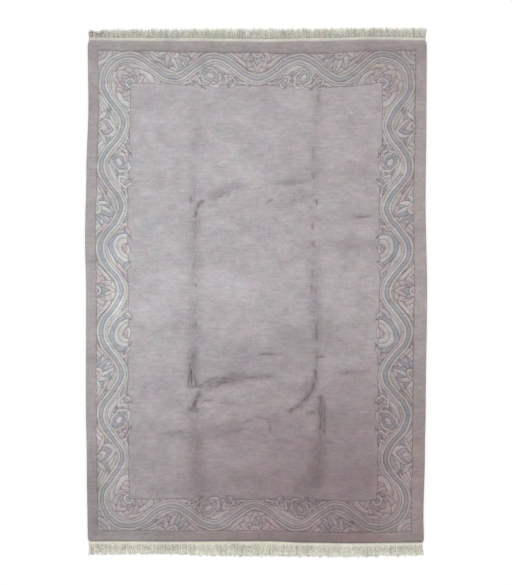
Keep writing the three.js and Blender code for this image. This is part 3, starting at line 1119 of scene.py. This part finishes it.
def drawn_yarns(end):
    """The yarns of one end, lock by lock: their roots, radii, leans, lengths, lifts, waves and shades."""
    kinds = [(YARNS_IN_LOCK, YARN_RADIUS), (WISPS_IN_LOCK, WISP_RADIUS)]
    in_one = YARNS_IN_LOCK + WISPS_IN_LOCK
    count = LOCKS * in_one
    lock = np.repeat(np.arange(LOCKS), in_one)
    radius = np.tile(np.repeat([radius for _, radius in kinds], [number for number, _ in kinds]), LOCKS)
    wisp = radius == WISP_RADIUS

    half = HALF.real - WEB_INSET
    pitch = 2 * half / LOCKS
    turns = [np.arange(number) + RANDOM.uniform(0, 1, (LOCKS, number)) for number, _ in kinds]
    in_lock = np.concatenate([turn / turn.shape[1] for turn in turns], axis=1).ravel() - 0.5
    furthest = half - YARN_MARGIN
    root_x = np.clip(-half + (lock + 0.5 + in_lock) * pitch, -furthest, furthest)
    root = laid(root_x + 1j * end.side * HALF.imag)

    lean = LOCK_SWAY * wave_at(LEAN_WAVES, lock) + RANDOM.normal(0, LOCK_SPREAD, LOCKS)[lock]
    lean += RANDOM.normal(0, np.where(wisp, WISP_SPREAD, YARN_SPREAD)) - LOCK_GATHER * in_lock
    lean += CORNER_SPLAY * np.clip(root_x / half, 0, 1) ** CORNER_SPLAY_ORDER
    low = RANDOM.uniform(0, 1, count) < LOW_SHARE
    length = wander(end.lengths, 0.5 + root_x / half / 2) + LOCK_WAVE * wave_at(LENGTH_WAVES, lock)
    length += RANDOM.normal(0, LOCK_LENGTHS, LOCKS)[lock] - LOW_SHORTER * low
    length += RANDOM.normal(0, np.where(wisp, WISP_LENGTHS, YARN_LENGTHS))
    fullness = np.where(low, 0, LOCK_FULLNESS * (1 - (2 * in_lock) ** 2))
    lift = (LEAST_LIFT + fullness) * RANDOM.uniform(FLATTEST, 1, count)
    wave = RANDOM.uniform(0, 2 * np.pi, count)
    # Low yarns get painted shade; all differ a little at random.
    shade = np.where(low, LOW_SHADE, 1) * RANDOM.normal(1, YARN_SHADES, count)
    return root, radius, lean, length, lift, wave, shade


def yarns_piece(end, model, material):
    """All the yarns of one end: copies of one yarn, each bent and laid on the floor in its lock."""
    root, radius, lean, length, lift, wave, shade = [values[:, None] for values in drawn_yarns(end)]
    corners = np.array([vertex.co for vertex in model.data.vertices])
    share = corners[:, 2]
    settled = eased(np.clip(share / YARN_SETTLED, 0, 1))
    sway = lean * share**YARN_LEAN_ORDER + YARN_WAVE * np.sin(YARN_WAVE_TURN * share + wave) * share
    out = WEB_WIDTH - YARN_COVERED + (length + YARN_COVERED) * share
    rest = radius + lift * (1 - TIP_SINK * share)
    height = YARN_START_HEIGHT * (1 - settled) + rest * settled
    x = root.real + sway + radius * corners[:, 0]
    y = root.imag + end.side * out
    z = height + radius * corners[:, 1] * np.clip(YARN_START_FLATNESS + settled, 0, 1)
    vertices = np.stack([x, y, z], axis=-1).reshape(-1, 3)

    polygons = [list(polygon.vertices) for polygon in model.data.polygons]
    if end.side > 0:
        polygons = [polygon[::-1] for polygon in polygons]
    firsts = np.arange(len(root)) * len(corners)
    faces = [[first + corner for corner in polygon] for first in firsts for polygon in polygons]
    yarns = mesh_object("yarns_" + end.name, vertices * MM, faces, [material])
    paler_tip = 1 + TIP_FADE * share[np.concatenate(polygons)] ** TIP_FADE_ORDER
    colours = (shade * paler_tip).ravel()[:, None] * linear(YARNS[end.yarn])
    keep_colours(yarns.data, "yarn", np.minimum(colours, PALEST))
    return yarns


# Materials.

GREY = (0.5, 0.5, 0.5, 1)
WHITE = (1, 1, 1, 1)
# The colour of dirt and dark specks, and also of the painted shade in the pile's creases.
DUST_AND_SHADE = (0.095, 0.067, 0.067, 1)
# The darker yarn of the carved lines, which also paints the shade of their grooves.
CARVED_LINE = (0.65, 0.605, 0.63, 1)
# How much deeper the wool is lower down and at the right: partly its dye, partly painted shade of a light
# that falls off.
LOWER_SHADE = (0.605, 0.518, 0.528, 1)
RIGHT_SHADE = (0.87, 0.812, 0.81, 1)
TINTS = [
    ((1.032, 0.98, 0.989, 1), (0.968, 1.02, 1.011, 1)),
    ((1.003, 1.022, 0.974, 1), (0.997, 0.978, 1.026, 1)),
]
CLOTH_GLOSS = 0.15
SHEEN_ROUGHNESS = 0.5

# Noise: so many waves a metre across and along the rug, its detail, its start, and its roughness.
Waves = namedtuple("Waves", "across along detail start roughness", defaults=[2, 0, 0.5])
DYE_STREAKS = Waves(13, 70, 3)
DYE_CLOUDS = Waves(5, 6.5, 5, 9, 0.9)
TINT_CLOUDS = Waves(7, 8.5, 5, 0, 0.9)
FIBRES = Waves(1400, 500, 3, 1)
CLIPPED = Waves(40, 30, 3)
CREASE_HAIRS = Waves(25, 90, 4)
DARK_PATCH_NOISE = Waves(90, 90, 3, 3)
DUST_SPECKS = Waves(150, 80, 2, 5)

# How much the fibres lighten the wool, and how high they and the clipping stand beside the knots.
FIBRE_SHADE = 0.6
FIBRE_HEIGHT = 5
CLIPPED_HEIGHT = 5

# Ramps: a low and a high value, in metres where it is a place, what comes out at each, and whether
# the way between them is eased.
Ramp = namedtuple("Ramp", "low high to_low to_high smooth", defaults=[0, 1, True])
TINT_CHANGE = Ramp(-0.11, 0.11, smooth=False)
KNOT_ROUND = Ramp(0, 0.75, 1, 0)
LINE_DYE_AND_SHADE = Ramp(0.4, 0.65)
HAIR_SHADE_AND_DUST = Ramp(-0.15, 0.13, 0.48, 1)
DARK_PATCH_SPOTS = Ramp(-0.1, 0.1, 0.2, 1)
SPECK_DUST = Ramp(-0.04, 0.2)
DARK_PATCH_LEFT = Ramp(-0.86, -0.97)
DARK_PATCH_TOP = Ramp(1.52, 1.55)

# Where the wool is deeper and redder, partly in its dye and partly as painted shade of a light that falls
# off: to the right, lower down but less so at both sides, and a little at the top.
DEEPER_RIGHT = Ramp(-0.6, 0.9, smooth=False)
DEEPER_BELOW = Ramp(0.05, -1.25)
LESS_LEFT = Ramp(-1.1, 0.2, 0.4, 1)
LESS_RIGHT = Ramp(0.65, 0.95, 1, 0.72)
DEEPER_ABOVE = Ramp(1.05, 1.5)
SHARE_ABOVE = 0.3

# The weave of each surface, as knots or turns a metre each way, and how unlike they are.
PILE_KNOTS = {"Unlikeness": 0.16}
BACK_KNOTS = {"Across": 250.0, "Along": 330.0, "Looseness": 0.2, "Unlikeness": 0.3}
WEB_WEAVE = {"Across": 420.0, "Along": 660.0, "Looseness": 0.2}
YARN_TWIST = {"Across": 900.0, "Along": 350.0, "Looseness": 0.6}


def node(tree, kind, inputs=None, **settings):
    """A shader node with its settings, and its inputs set to values or linked to sockets."""
    made = tree.nodes.new(kind)
    for name, value in settings.items():
        setattr(made, name, value)
    for name, value in (inputs or {}).items():
        if isinstance(value, bpy.types.NodeSocket):
            tree.links.new(value, made.inputs[name])
        else:
            made.inputs[name].default_value = value
    return made


def sums(tree, operation, *values):
    """The outcome of one sum of numbers."""
    return node(tree, "ShaderNodeMath", dict(enumerate(values)), operation=operation).outputs[0]


def blended(tree, share, first, second, way="MIX"):
    """The first colour with so much of the second in it, mixed or in another way."""
    colours = {"Factor": share, "A": first, "B": second}
    return node(tree, "ShaderNodeMix", colours, data_type="RGBA", blend_type=way).outputs["Result"]


def tinted_over(tree, colour, share, dye):
    """A colour with so much of a tint multiplied over it; the tints here are partly dye and partly painted
    shade.
    """
    return blended(tree, 1, colour, blended(tree, share, WHITE, dye), "MULTIPLY")


def lit_by(tree, colour, shade):
    """A colour made lighter or darker by a shade around 1."""
    return node(tree, "ShaderNodeVectorMath", {0: colour, "Scale": shade}, operation="SCALE").outputs[0]


def ramped(tree, value, ramp):
    """What a ramp makes of a value."""
    limits = {"Value": value, "From Min": ramp.low, "From Max": ramp.high}
    limits |= {"To Min": ramp.to_low, "To Max": ramp.to_high}
    way = "SMOOTHSTEP" if ramp.smooth else "LINEAR"
    return node(tree, "ShaderNodeMapRange", limits, interpolation_type=way).outputs[0]


def place_of(tree):
    """The place on the piece, in metres, as a vector and as its x and y."""
    place = tree.nodes.new("ShaderNodeTexCoord").outputs["Object"]
    split = node(tree, "ShaderNodeSeparateXYZ", {0: place}).outputs
    return place, split["X"], split["Y"]


def drifting(tree, waves, place=None):
    """Noise around 0 over the rug, or along x and y of another place."""
    place = place or place_of(tree)[0]
    spread = {"Vector": place, "Location": (waves.start,) * 3, "Scale": (waves.across, waves.along, 1)}
    spread = node(tree, "ShaderNodeMapping", spread).outputs[0]
    looks = {"Vector": spread, "Scale": 1, "Detail": waves.detail, "Roughness": waves.roughness}
    speckle = node(tree, "ShaderNodeTexNoise", looks).outputs[0]
    return sums(tree, "SUBTRACT", speckle, 0.5)


def group_tree(name, inputs, outputs):
    """An empty group, its named inputs with their usual values, and its named outputs."""
    tree = bpy.data.node_groups.new(name, "ShaderNodeTree")
    for title, usual in inputs.items():
        kind = "NodeSocketColor" if isinstance(usual, tuple) else "NodeSocketFloat"
        tree.interface.new_socket(title, in_out="INPUT", socket_type=kind).default_value = usual
    for title, kind in outputs.items():
        tree.interface.new_socket(title, in_out="OUTPUT", socket_type="NodeSocket" + kind)
    return tree, tree.nodes.new("NodeGroupInput").outputs, tree.nodes.new("NodeGroupOutput").inputs


def placed(tree, group, inputs):
    """The outputs of a shared group with its values for one material."""
    return node(tree, "ShaderNodeGroup", inputs, node_tree=group).outputs


def dye_drift():
    """Hand-dyed yarn: streaks across the rug, clouds of light of every size, and tints that come and go."""
    usual = {"Colour": GREY, "Streaks": 0.3, "Clouds": 1.2}
    tree, given, out = group_tree("dye_drift", usual, {"Colour": "Color"})
    streaks = drifting(tree, DYE_STREAKS)
    clouds = drifting(tree, DYE_CLOUDS)
    light = sums(tree, "MULTIPLY_ADD", streaks, given["Streaks"], 1)
    light = sums(tree, "MULTIPLY", light, sums(tree, "MULTIPLY_ADD", clouds, given["Clouds"], 1))
    colour = given["Colour"]
    for start, (one, other) in enumerate(TINTS):
        share = ramped(tree, drifting(tree, TINT_CLOUDS._replace(start=start)), TINT_CHANGE)
        colour = blended(tree, 1, colour, blended(tree, share, one, other), "MULTIPLY")
    tree.links.new(lit_by(tree, colour, light), out["Colour"])
    return tree


def knot_rows():
    """Rows of knots as a shade around 1 and a height from 0 to 1, with so many knots a metre each way."""
    usual = {"Across": 330.0, "Along": 290.0, "Looseness": 0.9, "Unlikeness": 0.2}
    tree, given, out = group_tree("knot_rows", usual, {"Shade": "Float", "Height": "Float"})
    place, *_ = place_of(tree)
    often = node(tree, "ShaderNodeCombineXYZ", {"X": given["Across"], "Y": given["Along"]}).outputs[0]
    scaled = node(tree, "ShaderNodeVectorMath", {0: place, 1: often}, operation="MULTIPLY").outputs[0]
    cells = {"Vector": scaled, "Scale": 1, "Randomness": given["Looseness"]}
    knots = node(tree, "ShaderNodeTexVoronoi", cells, voronoi_dimensions="2D")
    one = node(tree, "ShaderNodeSeparateColor", {0: knots.outputs["Color"]}).outputs[0]
    spread = sums(tree, "MULTIPLY", sums(tree, "SUBTRACT", one, 0.5), given["Unlikeness"])
    tree.links.new(sums(tree, "ADD", spread, 1), out["Shade"])
    tree.links.new(ramped(tree, knots.outputs["Distance"], KNOT_ROUND), out["Height"])
    return tree


def soiling_and_shade():
    """Dust and shadow that a mask and its patches, both from 0 to 1, bring in."""
    usual = {"Colour": GREY, "Mask": 1.0, "Patches": 1.0, "Amount": 0.5}
    tree, given, out = group_tree("soiling_and_shade", usual, {"Colour": "Color"})
    share = sums(tree, "MULTIPLY", sums(tree, "MULTIPLY", given["Mask"], given["Patches"]), given["Amount"])
    tree.links.new(blended(tree, share, given["Colour"], DUST_AND_SHADE), out["Colour"])
    return tree


DYE_DRIFT = dye_drift()
KNOT_ROWS = knot_rows()
SOILING_AND_SHADE = soiling_and_shade()


def cloth_material(name, roughness, sheen):
    """A dull cloth, with its node tree and its shader."""
    material = bpy.data.materials.new(name)
    material.use_nodes = True
    shader = material.node_tree.nodes["Principled BSDF"]
    shader.inputs["Roughness"].default_value = roughness
    shader.inputs["Specular IOR Level"].default_value = CLOTH_GLOSS
    shader.inputs["Sheen Weight"].default_value = sheen
    shader.inputs["Sheen Roughness"].default_value = SHEEN_ROUGHNESS
    return material, material.node_tree, shader


def attribute(tree, name, output="Fac"):
    """What a mesh keeps under a name."""
    return node(tree, "ShaderNodeAttribute", attribute_name=name).outputs[output]


def dyed_and_shaded_wool(tree, streaks, clouds):
    """The yarn's colour with its dye's drift, and deeper to the right, at the top and lower down, partly in
    the dye and partly as painted shade.
    """
    _, x, y = place_of(tree)
    yarn = attribute(tree, "yarn", "Color")
    wool = placed(tree, DYE_DRIFT, {"Colour": yarn, "Streaks": streaks, "Clouds": clouds})
    away = sums(tree, "MULTIPLY", ramped(tree, x, LESS_LEFT), ramped(tree, x, LESS_RIGHT))
    deeper = sums(tree, "MULTIPLY", ramped(tree, y, DEEPER_BELOW), away)
    deeper = sums(tree, "MULTIPLY_ADD", ramped(tree, y, DEEPER_ABOVE), SHARE_ABOVE, deeper)
    wool = tinted_over(tree, wool["Colour"], deeper, LOWER_SHADE)
    return tinted_over(tree, wool, ramped(tree, x, DEEPER_RIGHT), RIGHT_SHADE)


def bumped(tree, shader, height, distance, strength):
    """A relief that only the light feels, which stands out by its distance in metres."""
    made = node(tree, "ShaderNodeBump", {"Height": height, "Distance": distance, "Strength": strength})
    tree.links.new(made.outputs[0], shader.inputs["Normal"])


def wool_pile():
    """Clipped wool, with carved lines darkened by their yarn and by painted groove shade, and with painted
    shade and a little dirt in its creases.
    """
    material, tree, shader = cloth_material("wool_pile", roughness=0.92, sheen=0.25)
    knots = placed(tree, KNOT_ROWS, PILE_KNOTS)
    fibres = drifting(tree, FIBRES)
    light = sums(tree, "MULTIPLY_ADD", fibres, FIBRE_SHADE, knots["Shade"])
    wool = lit_by(tree, dyed_and_shaded_wool(tree, streaks=0.36, clouds=0.95), light)
    # The carved lines are darker: partly their yarn, partly painted shade of the groove.
    wool = tinted_over(tree, wool, ramped(tree, attribute(tree, "line"), LINE_DYE_AND_SHADE), CARVED_LINE)
    # The creases get painted shade, with a little dirt, in hair-like streaks along them.
    along_crease = attribute(tree, "crease_grain", "Vector")
    hairs = ramped(tree, drifting(tree, CREASE_HAIRS, along_crease), HAIR_SHADE_AND_DUST)
    crease_shade_and_dust = {"Colour": wool, "Mask": attribute(tree, "crease"), "Patches": hairs, "Amount": 0.93}
    soiled = placed(tree, SOILING_AND_SHADE, crease_shade_and_dust)
    tree.links.new(soiled["Colour"], shader.inputs["Base Color"])
    clipped = sums(tree, "MULTIPLY_ADD", drifting(tree, CLIPPED), CLIPPED_HEIGHT, knots["Height"])
    clipped = sums(tree, "MULTIPLY_ADD", fibres, FIBRE_HEIGHT, clipped)
    bumped(tree, shader, clipped, distance=0.0007, strength=0.6)
    return material


def knotted_back():
    """Rows of flat knots that show the pile's colours."""
    material, tree, shader = cloth_material("knotted_back", roughness=0.95, sheen=0.05)
    knots = placed(tree, KNOT_ROWS, BACK_KNOTS)
    wool = lit_by(tree, dyed_and_shaded_wool(tree, streaks=0.3, clouds=0.8), knots["Shade"])
    tree.links.new(wool, shader.inputs["Base Color"])
    bumped(tree, shader, knots["Height"], distance=0.0012, strength=0.8)
    return material


def cotton(name, weave, specked):
    """Undyed cotton, specked with dirt, with a darker patch at the upper left corner."""
    material, tree, shader = cloth_material(name, roughness=0.9, sheen=0.15)
    _, x, y = place_of(tree)
    yarn = attribute(tree, "yarn", "Color")
    colour = placed(tree, DYE_DRIFT, {"Colour": yarn, "Streaks": 0.2, "Clouds": 0.8})
    in_dark_patch = sums(tree, "MULTIPLY", ramped(tree, x, DARK_PATCH_LEFT), ramped(tree, y, DARK_PATCH_TOP))
    spots = ramped(tree, drifting(tree, DARK_PATCH_NOISE), DARK_PATCH_SPOTS)
    dark_patch = {"Colour": colour["Colour"], "Mask": in_dark_patch, "Patches": spots, "Amount": 0.75}
    specks = ramped(tree, drifting(tree, DUST_SPECKS), SPECK_DUST)
    specks = {"Colour": placed(tree, SOILING_AND_SHADE, dark_patch)["Colour"], "Patches": specks, "Amount": specked}
    tree.links.new(placed(tree, SOILING_AND_SHADE, specks)["Colour"], shader.inputs["Base Color"])
    knots = placed(tree, KNOT_ROWS, weave)
    bumped(tree, shader, knots["Height"], distance=0.0006, strength=0.5)
    return material


rug = rug_piece([wool_pile(), knotted_back()])
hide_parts("rug")
pieces = [rug]
model = yarn_model()
web_cotton = cotton("cotton_web", WEB_WEAVE, specked=0.0)
yarn_cotton = cotton("cotton_yarn", YARN_TWIST, specked=0.45)
for end in ENDS:
    for piece in (web_piece(end, web_cotton), yarns_piece(end, model, yarn_cotton)):
        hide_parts("fringe_" + end.name)
        pieces.append(piece)
bpy.data.objects.remove(model)
for piece in pieces:
    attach(piece, "root")

# Floor, light and camera. The camera looks straight down, a little off the rug's middle.
FLOOR_SIZE = 40
FLOOR_DROP = 0.0005
FLOOR_WHITE = (0.95, 0.95, 0.95, 1)
ROOM_LIGHT = 0.7
SUN_LIGHT = 1.8
SUN_SPREAD = 20
SUN_TILT = -50
CAMERA_PLACE = (0.0015, -0.003, 8.3)
FIELD_OF_VIEW_HEIGHT = 3.51
SENSOR = 24

bpy.ops.mesh.primitive_plane_add(size=FLOOR_SIZE, location=(0, 0, -FLOOR_DROP))
floor = bpy.context.active_object
floor.name = "floor"
white = bpy.data.materials.new("white_floor")
white.use_nodes = True
white.node_tree.nodes["Principled BSDF"].inputs["Base Color"].default_value = FLOOR_WHITE
white.node_tree.nodes["Principled BSDF"].inputs["Roughness"].default_value = 1
floor.data.materials.append(white)

world = bpy.data.worlds.new("studio")
world.use_nodes = True
world.node_tree.nodes["Background"].inputs["Color"].default_value = WHITE
world.node_tree.nodes["Background"].inputs["Strength"].default_value = ROOM_LIGHT
bpy.context.scene.world = world

sun = bpy.data.lights.new("key", "SUN")
sun.energy = SUN_LIGHT
sun.angle = math.radians(SUN_SPREAD)
key = bpy.data.objects.new("key", sun)
key.rotation_euler = (math.radians(SUN_TILT), 0, 0)
bpy.context.scene.collection.objects.link(key)

camera = bpy.data.objects.new("camera", bpy.data.cameras.new("camera"))
camera.data.sensor_fit = "VERTICAL"
camera.data.sensor_height = SENSOR
camera.data.lens = CAMERA_PLACE[2] * SENSOR / FIELD_OF_VIEW_HEIGHT
camera.location = CAMERA_PLACE
bpy.context.scene.collection.objects.link(camera)
bpy.context.scene.camera = camera
bpy.context.scene.view_settings.view_transform = "Standard"
